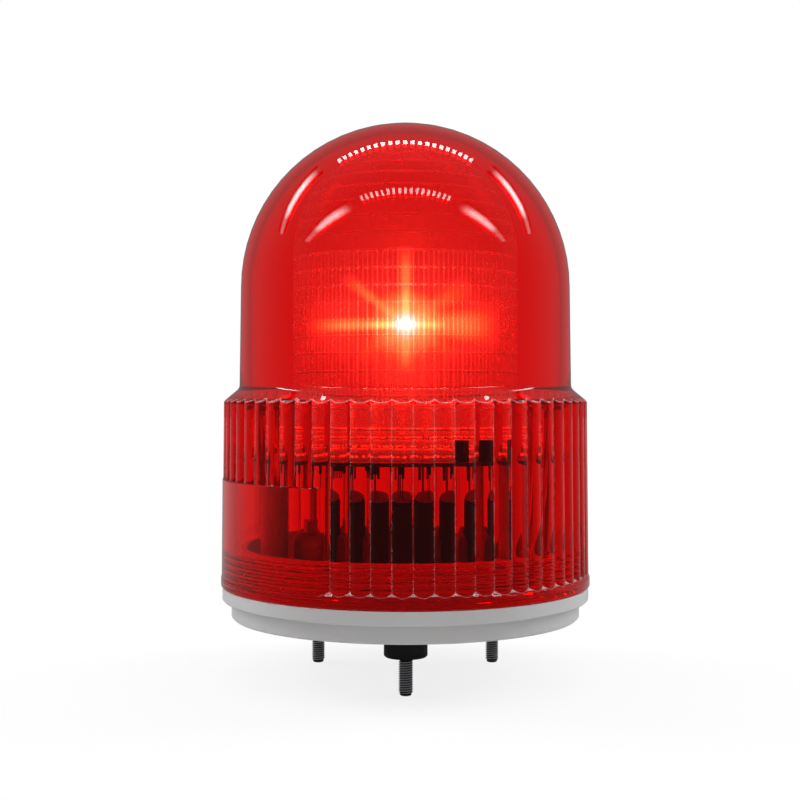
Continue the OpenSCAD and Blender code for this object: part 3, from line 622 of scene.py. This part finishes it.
class BEACON_OT_finishes(bpy.types.Operator):
    """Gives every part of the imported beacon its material"""
    bl_idname = "beacon.finishes"
    bl_label = "Finishes"

    def execute(self, context):
        tones = colours()
        made = {
            "red_polycarbonate": red_polycarbonate(),
            "clear_acrylic": clear_acrylic(),
            # Satin light grey, almost even.
            "grey_plastic": moulded("grey_abs", tones.base, rough=0.42, shade=0.025),
            # Dull mid grey of inner mouldings.
            "dark_grey_plastic": moulded("dark_grey_abs", tones.dark_grey),
            # Deep black with little shine, so that it stays dark behind the red wall.
            "black_plastic": moulded("black_abs", tones.black, rough=0.6, ior=1.36),
            # Matt, cloudy black.
            "black_rubber": moulded(
                "black_epdm_rubber", tones.rubber, rough=0.62, grain_mm=0.35, depth_mm=0.06, shade=0.2),
            # Painted highlight: grey on the thread's crests; painted shade: black in its roots.
            "black_steel": metal(
                "black_oxide_steel", linear("#A2A3A6"), rough=0.34, streak_mm=1.5, metallic=0.3,
                root=linear("#101012")),
            # Bright, cool silver of screws and washers.
            "zinc_steel": metal("zinc_plated_steel", linear("#C9CBCE")),
            # Warm yellow shine of the diaphragm.
            "brass": metal("rolled_brass", linear("#D8B060"), streak_mm=2.0),
            # Soft silver with fine drawn lines.
            "aluminium": metal("extruded_aluminium", linear("#CFD1D4"), rough=0.35, streak_mm=1.0),
            # Glossy green with paler tracks.
            "circuit_board": printed_board("green_circuit_board", tones.board, linear("#3B7A4A")),
            # Glossy white with faint tracks.
            "white_board": printed_board("white_led_board", linear("#E8E8E4"), linear("#CFCFC8")),
            # Shiny dark blue sleeve.
            "capacitor_sleeve": moulded(
                "pvc_sleeve", linear("#26264A"), rough=0.3, grain_mm=0.6, depth_mm=0.02),
            # Smooth dark red insulation.
            "lead_insulation": moulded(
                "pvc_insulation", linear("#5A1015"), rough=0.4, grain_mm=0.4, depth_mm=0.02),
            "led_phosphor": led_silicone("led_silicone", 0.0),
        }
        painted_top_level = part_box("sounder_case")[1].z - NEAR
        own = {
            # Light grey that shows as a bright column through the plain panel.
            "board_pillars": moulded("pale_grey_abs", linear("#BDBDBD")),
            # Black case whose top face is painted pale, standing in for light from above.
            "sounder_case": painted_light_above("potted_black_abs", "black_abs", linear("#F2F1EC"), painted_top_level),
            # Grey foot and flange under a collar painted paler, standing in for light that reaches it
            # through the globe.
            "base": painted_light_above("pale_collar_grey_abs", "grey_abs", linear("#D6D6D6"), Globe.rim_z * MM),
            # Dull cream of uncoloured nylon.
            "terminal_block": moulded("natural_nylon", linear("#B9B4A8")),
            # Smooth bright red insulation.
            "supply_leads": moulded(
                "red_pvc_insulation", linear("#C8343A"), rough=0.4, grain_mm=0.4, depth_mm=0.02),
        }
        slots = {part["node"]: part["material_slot"] for part in frame["record"]["subparts"]}
        for name, part in frame["nodes"].items():
            part.data.materials.clear()
            part.data.materials.append(own.get(name, made[slots[name]]))
        return {"FINISHED"}


def finish_of(name):
    """Material that the finishes have made."""
    return bpy.data.materials[name]


def soft_max(a, b, width):
    """Larger of two lengths, with the corner between them rounded over this width."""
    near = max(width - abs(a - b), 0.0) / width
    return max(a, b) + near * near * width / 4


def soft_min(a, b, width):
    """Smaller of two lengths, with the corner between them rounded over this width."""
    return -soft_max(-a, -b, width)


def reed_radius(angle, lean):
    """Radius of one reed's round face at an angle from its crest."""
    middle = Globe.crest - Globe.reed_r - lean
    side = middle * math.sin(math.radians(angle))
    if abs(side) > Globe.reed_end * Globe.reed_r:
        return 0.0
    return middle * math.cos(math.radians(angle)) + math.sqrt(Globe.reed_r ** 2 - side ** 2)


def globe_radius(angle, z):
    """Outside radius of the globe below the dome, at an angle from the front and a height."""
    up = z - Globe.rim_z
    lean = Globe.draft * up / Globe.skirt_h
    pitch = 360 / Globe.reeds
    off = abs((angle - Globe.first + pitch / 2) % pitch - pitch / 2)
    body = soft_max(reed_radius(off, lean), reed_radius(pitch - off, lean), Globe.round_reed)
    body -= Globe.groove * max(0.0, 1 - (pitch / 2 - off) / Globe.groove_turn)
    over = max(0.0, up - Globe.rim_h)
    band = Globe.rim_r - Globe.rim_slope * Globe.rim_round ** -0.5 * over ** 1.5
    body = soft_max(body, band, Globe.round_rim)
    if Globe.panel_from <= angle <= Globe.panel_to:
        edge = max(0.0, up - Globe.panel_h + Globe.panel_ease) * Globe.panel_fall
        body = soft_max(body, Globe.crest + Globe.panel_lift - lean - edge, Globe.round_panel)
    slope = (Globe.shoulder_r - Globe.foot_r) / (Globe.foot_z - Globe.shoulder_z)
    body = soft_min(body, Globe.shoulder_r - (z - Globe.shoulder_z) * slope, Globe.round_shoulder)
    rise = max(0.0, z - Globe.foot_z) / (Globe.dome_z - Globe.foot_z)
    body = soft_max(body, Globe.foot_r - (Globe.foot_r - Globe.dome_r) * rise, Globe.round_foot)
    return body - Globe.lip_cut * max(0.0, 1 - up / Globe.lip_h) ** 2


def crowd(angle):
    """Angle moved towards the nearest valley between two reeds, where the surface turns sharply."""
    pitch = 360 / Globe.reeds
    off = (angle - Globe.first + pitch / 2) % pitch - pitch / 2
    share = 1 - (1 - min(1.0, abs(off) * 2 / pitch)) ** Globe.crowding
    return angle - off + math.copysign(share * pitch / 2, off)


def globe_thread(angle, z):
    """Height of the thread inside the skirt at an angle and a height: a rounded ridge that climbs."""
    phase = (z / Globe.thread_pitch - angle / 360) % 1
    inside = min(z - Globe.rim_z, Globe.thread_top - z)
    ends = min(1.0, max(0.0, inside / Globe.thread_run))
    ridge = min(1.0, max(0.0, 1.6 - 5 * abs(phase - 0.5)))
    return Globe.thread_depth * ends * ridge


def globe_heights():
    """Heights of the rows on the outside of the globe, close together where its shape turns."""
    # Each span: from, to and number of rows.
    spans = (
        (24.8, 25.3, 3), (25.3, 27.7, 1), (27.7, 31.9, 15), (31.9, 34, 2), (34, 72, 2), (72, 73.2, 5),
        (73.2, 104, 2), (104, 106.2, 3), (106.2, 109.4, 12), (109.4, 111.8, 3), (111.8, 114.4, 6),
        (114.4, 158.3, 5),
    )
    heights = [low + (high - low) * i / count for low, high, count in spans for i in range(count)]
    return heights + [Globe.dome_z]


class BEACON_OT_globe(bpy.types.Operator):
    """Models the globe: a turned shell whose skirt is then pressed into reeds, panel and rim"""
    bl_idname = "beacon.globe"
    bl_label = "Globe"

    def execute(self, context):
        inner_r, arc, columns = Globe.dome_r - Globe.wall, 18, 600
        soft, lip_ease, foot_ease = 0.5, 0.15, 0.12
        dome_rows, bore_rows, wall_split, dome_out = (140, 125), (90, 70, 50), 109, 72.5
        quarter = [math.radians(90 * i / arc) for i in range(arc + 1)]
        profile = [(inner_r * math.sin(a), Globe.dome_z + inner_r * math.cos(a)) for a in quarter]
        profile += [(inner_r, z) for z in dome_rows]
        slope = (Globe.foot_z - Globe.shoulder_z) / (Globe.shoulder_r - Globe.foot_r)
        foot = Globe.shoulder_z - Globe.cone_drop
        lip = foot + (Globe.bore - inner_r) * slope
        profile += [(inner_r, lip + soft), (inner_r + lip_ease, lip), (inner_r + soft, lip - soft * slope)]
        profile += [(Globe.bore - soft, foot + soft * slope), (Globe.bore - foot_ease, foot)]
        profile += [(Globe.bore, z) for z in (foot - soft,) + bore_rows]
        threads = round((Globe.thread_top - Globe.rim_z) / Globe.thread_pitch * 8)
        profile += [(Globe.bore, Globe.thread_top - i * Globe.thread_pitch / 8) for i in range(threads)]
        profile += [(Globe.bore, Globe.rim_z)]
        profile += [(globe_radius(90, z), z) for z in globe_heights()]
        for turn in quarter[1:]:
            profile.append((Globe.dome_r * math.cos(turn), Globe.dome_z + Globe.dome_r * math.sin(turn)))
        deselect()
        bpy.ops.mesh.primitive_plane_add(size=MM)
        shell = context.object
        edit_mode()
        bpy.ops.mesh.merge(type="CENTER")
        bpy.ops.mesh.select_all(action="SELECT")
        last = (0.0, 0.0)
        for i, (r, z) in enumerate(profile):
            step = (0, -(r - last[0]) * MM, (z - last[1]) * MM)
            if i:
                bpy.ops.mesh.extrude_vertices_move(TRANSFORM_OT_translate={"value": step})
            else:
                bpy.ops.transform.translate(value=step)
            last = (r, z)
        object_mode()
        modify(shell, "SCREW", axis="Z", angle=2 * math.pi, screw_offset=0, iterations=1, steps=columns,
               render_steps=columns, use_merge_vertices=True, merge_threshold=1e-6, use_smooth_shade=True)
        low, high = Globe.rim_z * MM - 1e-6, Globe.dome_z * MM - 1e-6
        for vertex in shell.data.vertices:
            x, y, z = vertex.co
            radius = math.hypot(x, y)
            angle = math.degrees(math.atan2(x, -y))
            wide = radius / MM
            if low < z < high and wide > (Globe.bore + soft if z < wall_split * MM else dome_out):
                angle = crowd(angle)
                wide = globe_radius(angle, z / MM)
                turn = math.radians(angle)
                vertex.co = (wide * MM * math.sin(turn), -wide * MM * math.cos(turn), z)
            elif abs(wide - Globe.bore) < 0.01 and z < Globe.thread_top * MM:
                share = 1 - globe_thread(angle, z / MM) / wide
                vertex.co = (x * share, y * share, z)
        edit_mode()
        bpy.ops.mesh.select_all(action="SELECT")
        bpy.ops.mesh.normals_make_consistent(inside=False)
        object_mode()
        settle(shell, "reeded_globe", COVER, finish_of("red_tinted_polycarbonate"),
               ["globe"])
        return {"FINISHED"}


class BEACON_OT_collar_thread(bpy.types.Operator):
    """Models the thread on the base's collar that the globe screws onto"""
    bl_idname = "beacon.collar_thread"
    bl_label = "Collar thread"

    def execute(self, context):
        root, low, high = 75 * MM, 25.9 * MM, 41.2 * MM
        ridge = thread_ridge(root, root + sizes().collar_crest, sizes().collar_pitch, low, high, 120,
                             flank=0.3)
        # The thread takes the collar's tone, painted paler to stand in for light through the globe.
        settle(ridge, "collar_thread", HOUSING, finish_of("pale_collar_grey_abs"))
        return {"FINISHED"}


class BEACON_OT_fixing_bolts(bpy.types.Operator):
    """Models the three fixing bolts with their heads, shanks and threads"""
    bl_idname = "beacon.fixing_bolts"
    bl_label = "Fixing bolts"

    def execute(self, context):
        low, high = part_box("mounting_bolts")
        washer_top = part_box("bolt_washers")[1].z
        crest, circle, shank_r, edge = 3 * MM, 47.5 * MM, 2.7 * MM, 0.5 * MM
        flats, start, stop = 10, 0.55 * MM, -0.45 * MM
        root = crest - sizes().bolt_depth
        head = cylinder(flats / math.sqrt(3) * MM, washer_top, high.z, 6)
        bevel(head, lambda p: p.z > high.z - NEAR, edge, 2)
        shank = cylinder(shank_r, -OVERLAP, washer_top + OVERLAP)
        core = cylinder(root, low.z, 0)
        bevel(core, lambda p: p.z < low.z + NEAR, edge, 2)
        ridge = thread_ridge(root, crest, sizes().bolt_pitch, low.z + start, stop, 36, runout=0.9)
        bolt = join([core, shank, head, ridge])
        bolts = copies(bolt, [turned(a, circle) for a in (0, 120, 240)])
        settle(bolts, "fixing_bolts", HOUSING, finish_of("black_oxide_steel"),
               ["mounting_bolts"])
        return {"FINISHED"}


def pan_screw(grip):
    """Screw with a rounded head and a cross in it, its head standing on z = 0."""
    head = cylinder(HEAD_R, 0, HEAD_H, 32)
    bevel(head, lambda p: p.z > HEAD_H - NEAR, HEAD_ROUND, 4)
    half = sizes().recess_w / 2
    for x, y in ((half, CROSS_REACH), (CROSS_REACH, half)):
        cut(head, block((-x, -y, HEAD_H - sizes().recess_depth), (x, y, HEAD_H + 1 * MM)))
    return join([head, cylinder(SHANK_R, -grip, OVERLAP, 24)])


class BEACON_OT_screws(bpy.types.Operator):
    """Models the cross-head screws in the board, the lens, the LED column and the floor"""
    bl_idname = "beacon.screws"
    bl_label = "Screws"

    def execute(self, context):
        board, lens, column, cradle = 60 * MM, 56 * MM, 19.63 * MM, 42.63 * MM
        # Each ring of screws: whether the heads face down, radius and angles from the front.
        rings = {
            "board_screws": (False, board, (-75, 45, 165)),
            "lens_screws": (False, lens, (60, 180, 300)),
            "core_screws": (False, column, (30, 150, 270)),
            "pillar_screws": (True, board, (-75, 45, 165)),
            "cradle_screws": (True, cradle, (-76, 76)),
        }
        for node, (down, radius, angles) in rings.items():
            low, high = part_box(node)
            seat = low.z + HEAD_H if down else high.z - HEAD_H
            grip = high.z - seat if down else seat - low.z
            flip = Matrix.Rotation(math.pi if down else 0, 4, "X")
            places = [turned(angle, radius) @ turned(0, 0, seat) @ flip for angle in angles]
            settle(copies(pan_screw(grip), places), node + "_cross", HOUSING,
                   finish_of("zinc_plated_steel"), [node])
        return {"FINISHED"}


class BEACON_OT_leds(bpy.types.Operator):
    """Models the LEDs on the column, each a body with a cup and a silicone dome"""
    bl_idname = "beacon.leds"
    bl_label = "LEDs"

    def execute(self, context):
        face, half, thick, edge, cup_wall = 14.6 * MM, 2.5 * MM, 1.2 * MM, 0.25 * MM, 0.35 * MM
        lowest, step, dome_r = 95.4, 15, 2 * MM
        rows = [(lowest + step * i) * MM for i in range(4)]
        body = block((-half, -face - thick, -half), (half, -face, half))
        bevel(body, lambda p: p.y < -face - NEAR, edge, 2)
        edit_mode()
        pick("faces", lambda p: p.y < -face - thick + 0.01 * MM)
        bpy.ops.mesh.inset(thickness=cup_wall)
        bpy.ops.mesh.extrude_region_move(TRANSFORM_OT_translate={"value": (0, sizes().led_cup, 0)})
        object_mode()
        places = [turned(60 * i, 0, z) for i in range(6) for z in rows]
        bodies = copies(body, places)
        settle(bodies, "led_bodies", HOUSING, finish_of("white_led_board"), ["led_chips"])
        front = [turned(0, 0, rows[-1])]
        others = [place for place in places if place not in front]
        middle = (0, -face - thick + sizes().led_cup, 0)
        for name, wanted, strength in (("led_domes", others, 0.0), ("led_dome_lit", front, light().lamp)):
            deselect()
            bpy.ops.mesh.primitive_uv_sphere_add(segments=24, ring_count=12, radius=dome_r, location=middle)
            bpy.ops.object.transform_apply()
            dome = bpy.context.object
            edit_mode()
            bpy.ops.mesh.select_all(action="SELECT")
            bpy.ops.mesh.bisect(plane_co=middle, plane_no=(0, 1, 0), use_fill=True, clear_outer=True)
            object_mode()
            domes = copies(dome, wanted)
            settle(domes, name, HOUSING, led_silicone("silicone_" + name, strength),
                   ["led_chips"])
        return {"FINISHED"}


def area_lamp(name, place, aim, width, height, power):
    """Soft rectangular lamp that faces a point."""
    lamp = bpy.data.lights.new(name, "AREA")
    lamp.shape, lamp.size, lamp.size_y, lamp.energy = "RECTANGLE", width, height, power
    holder = bpy.data.objects.new(name, lamp)
    bpy.context.scene.collection.objects.link(holder)
    holder.location = place
    holder.rotation_euler = (Vector(aim) - Vector(place)).to_track_quat("-Z", "Y").to_euler()
    return holder


def glass_only(node, path):
    """One for a ray that has come through glass from the camera, nought after a matt surface."""
    clear = node("Math", (path.outputs["Diffuse Depth"], UNTOUCHED), operation="LESS_THAN")
    return node("Math", (path.outputs["Is Transmission Ray"], clear), operation="MULTIPLY")


def mirror_only(node, path):
    """One for a ray that a surface has mirrored, nought for one that glass has let through."""
    rays = path.outputs["Is Glossy Ray"], path.outputs["Is Transmission Ray"]
    return node("Math", rays, operation="SUBTRACT", use_clamp=True)


def either_way(node, path, depth):
    """Place from front to back as a share; straight through the glass, front and back count alike."""
    straight = node("Math", (path.outputs["Glossy Depth"], UNTOUCHED), operation="LESS_THAN")
    size = node("Math", (depth,), operation="ABSOLUTE")
    used = node("Mix", {0: straight, 2: depth, 3: size})
    return node("MapRange", (used, -1.0, 1.0))


def studio_world():
    """Even light all round, and a white backdrop with levels of its own through glass and in reflections."""
    world = bpy.data.worlds.new("studio")
    bpy.context.scene.world = world
    world.use_nodes = True
    world.node_tree.nodes.clear()
    node = partial(add, world.node_tree)
    path = node("LightPath")
    camera = path.outputs["Is Camera Ray"]
    way = node("TexCoord").outputs["Generated"]
    depth = node("SeparateXYZ", (way,)).outputs["Y"]
    mirrored = node("MapRange", (depth, -0.4, 0.4, 0.06, 0.19))
    clear = glass_only(node, path)
    backdrop = node("ValToRGB", (either_way(node, path, depth),), (
        (0.2, 0.22), (0.6, 0.32), (0.9, 0.45), (0.975, 0.72)))
    behind = node("Math", (clear, backdrop), operation="MULTIPLY")
    through = node("Math", (camera, behind), operation="MAXIMUM")
    strength = node("Math", (through, mirrored), operation="MAXIMUM")
    straight = node("Math", (camera, clear), operation="MAXIMUM")
    seen = node("Math", (straight, mirror_only(node, path)), operation="MAXIMUM")
    even = node("Background", {"Color": (1, 1, 1, 1), "Strength": light().ambient})
    white = node("Background", {"Color": (1, 1, 1, 1), "Strength": strength})
    node("OutputWorld", {"Surface": node("MixShader", (seen, even, white))})


def pale_floor():
    """Painted floor: matt white that keeps a soft shadow and meets the white backdrop."""
    made, node, place = material("white_floor")
    path = node("LightPath")
    speck = node("TexNoise", {"Vector": place, "Scale": per_metre(40), "Detail": 2.0})
    ramp = node("ValToRGB", (speck,), ((0, linear("#F4F4F4")), (1, linear("#F8F8F8"))))
    paint = node("BsdfDiffuse", {"Color": ramp})
    white = node("Emission", {"Color": (1, 1, 1, 1), "Strength": 1.0})
    away = node("VectorMath", (place,), operation="LENGTH")
    fade = node("MapRange", (away, 0.08, 0.3, 0.8, 1.0))
    share = node("Math", (path.outputs["Is Camera Ray"], fade), operation="MULTIPLY")
    painted = node("MixShader", (share, paint, white))
    way = node("VectorMath", (place,), operation="NORMALIZE")
    depth = node("SeparateXYZ", (way,)).outputs["Y"]
    seen = node("ValToRGB", (either_way(node, path, depth),), (
        (0.2, 0.22), (0.6, 0.32), (0.9, 0.5), (1.0, 0.8)))
    turn = node("MapRange", (depth, -1.0, 1.0))
    shine = node("ValToRGB", (turn,), ((0.2, 0.05), (0.46, 0.09), (0.65, 0.19), (0.88, 0.36)))
    through = node("Emission", {"Color": seen})
    mirrored = node("Emission", {"Color": shine})
    behind = node("MixShader", (glass_only(node, path), painted, through))
    all_rays = node("MixShader", (mirror_only(node, path), behind, mirrored))
    node("OutputMaterial", {"Surface": all_rays})
    return made


def lamp_glass():
    """Frosted glass of a lamp bar: bright small emitters, and tubes that are dimmer towards both ends."""
    made, node, place = material("lamp_glass")
    x, y = node("SeparateXYZ", (place,)).outputs[:2]
    away = node("Math", (x,), operation="ABSOLUTE")
    along = node("ValToRGB", (away,), ((0.43, 0.02), (0.58, 0.5), (0.85, 0.5), (1.0, 0.1)))
    rear = node("Math", (y, 0.0), operation="GREATER_THAN")
    middle = node("Math", (rear, TUBE_BACK - TUBE_FRONT, TUBE_FRONT), operation="MULTIPLY_ADD")
    off = node("Math", (y, middle), operation="SUBTRACT")
    aside = node("Math", (off,), operation="ABSOLUTE")
    tube_half, dots_end, dots_level = 0.08, 0.35, 0.45
    across = node("MapRange", (aside, tube_half, 0.0), **SOFT)
    tube = node("Math", (along, across), operation="MULTIPLY")
    inner = node("Math", (away, dots_end), operation="LESS_THAN")
    dots = node("Math", (inner, dots_level), operation="MULTIPLY")
    level = node("Math", (tube, dots), operation="MAXIMUM")
    power = node("Math", (level, light().top), operation="MULTIPLY")
    white = node("Emission", {"Color": (1, 1, 1, 1), "Strength": power})
    node("OutputMaterial", {"Surface": white})
    return made


def lamp_bars():
    """Two bars over the dome, each with a row of small emitters between two long tubes."""
    deselect()
    bpy.ops.mesh.primitive_plane_add(size=1)
    places = []
    for depth, count, span, size in EMITTERS:
        for i in range(count):
            x = (2 * i / (count - 1) - 1) * span
            places.append(Matrix.Translation((x, depth, BAR_HEIGHT)) @ Matrix.Diagonal((*size, 1, 1)))
        across = TUBE_BACK if depth > 0 else TUBE_FRONT
        for side in (-1, 1):
            places.append(Matrix.Translation((side * TUBE_MIDDLE, across, BAR_HEIGHT))
                          @ Matrix.Diagonal((TUBE_LENGTH, TUBE_WIDTH, 1, 1)))
    bars = copies(bpy.context.object, places)
    bars.name = "lamp_bars"
    bars.data.materials.append(lamp_glass())
    bars.visible_camera = False


class BEACON_OT_stage(bpy.types.Operator):
    """Sets the floor, the lamps, the backdrop and the camera"""
    bl_idname = "beacon.stage"
    bl_label = "Stage"

    def execute(self, context):
        scene = context.scene
        scene.view_settings.view_transform = "Standard"
        ground = cad_box[0].z
        deselect()
        bpy.ops.mesh.primitive_plane_add(size=FLOOR_WIDTH, location=(0, 0, ground - FLOOR_GAP))
        floor = context.object
        floor.name = "floor"
        floor.data.materials.append(pale_floor())
        studio_world()
        x, y, z = BOX_PLACE
        for name, side in (("left_box", -1), ("right_box", 1)):
            box = area_lamp(name, (side * x, y, z), BOX_AIM, BOX_WIDTH, BOX_HEIGHT, light().side)
            box.visible_glossy = box.visible_transmission = False
        lamp_bars()
        lens = bpy.data.cameras.new("camera")
        lens.sensor_width, lens.lens = CAMERA_SENSOR, CAMERA_FOCAL
        camera = bpy.data.objects.new("camera", lens)
        scene.collection.objects.link(camera)
        camera.location = CAMERA_PLACE
        camera.rotation_euler = (math.pi / 2 + CAMERA_TILT, 0, 0)
        scene.camera = camera
        return {"FINISHED"}


class BEACON_PT_panel(bpy.types.Panel):
    """Lists the beacon's sizes, colours and steps"""
    bl_idname = "BEACON_PT_panel"
    bl_label = "Sounder beacon"
    bl_space_type = "VIEW_3D"
    bl_region_type = "UI"
    bl_category = "Beacon"

    def draw(self, context):
        for group in (sizes(), colours(), light()):
            box = self.layout.box()
            for name in group.__annotations__:
                box.prop(group, name)
        for step in STEPS:
            self.layout.operator(step.bl_idname)


STEPS = (
    BEACON_OT_finishes, BEACON_OT_globe, BEACON_OT_collar_thread, BEACON_OT_fixing_bolts, BEACON_OT_screws,
    BEACON_OT_leds, BEACON_OT_stage,
)
GROUPS = {"beacon_sizes": BeaconSizes, "beacon_colours": BeaconColours, "beacon_light": BeaconLight}


def register():
    for name, group in GROUPS.items():
        bpy.utils.register_class(group)
        setattr(bpy.types.Scene, name, bpy.props.PointerProperty(type=group))
    for step in STEPS + (BEACON_PT_panel,):
        bpy.utils.register_class(step)


def unregister():
    for step in (BEACON_PT_panel,) + STEPS[::-1]:
        bpy.utils.unregister_class(step)
    for name, group in GROUPS.items():
        delattr(bpy.types.Scene, name)
        bpy.utils.unregister_class(group)


def main():
    register()
    bpy.ops.beacon.finishes()
    bpy.ops.beacon.globe()
    bpy.ops.beacon.collar_thread()
    bpy.ops.beacon.fixing_bolts()
    bpy.ops.beacon.screws()
    bpy.ops.beacon.leds()
    bpy.ops.beacon.stage()


if __name__ == "__main__":
    main()
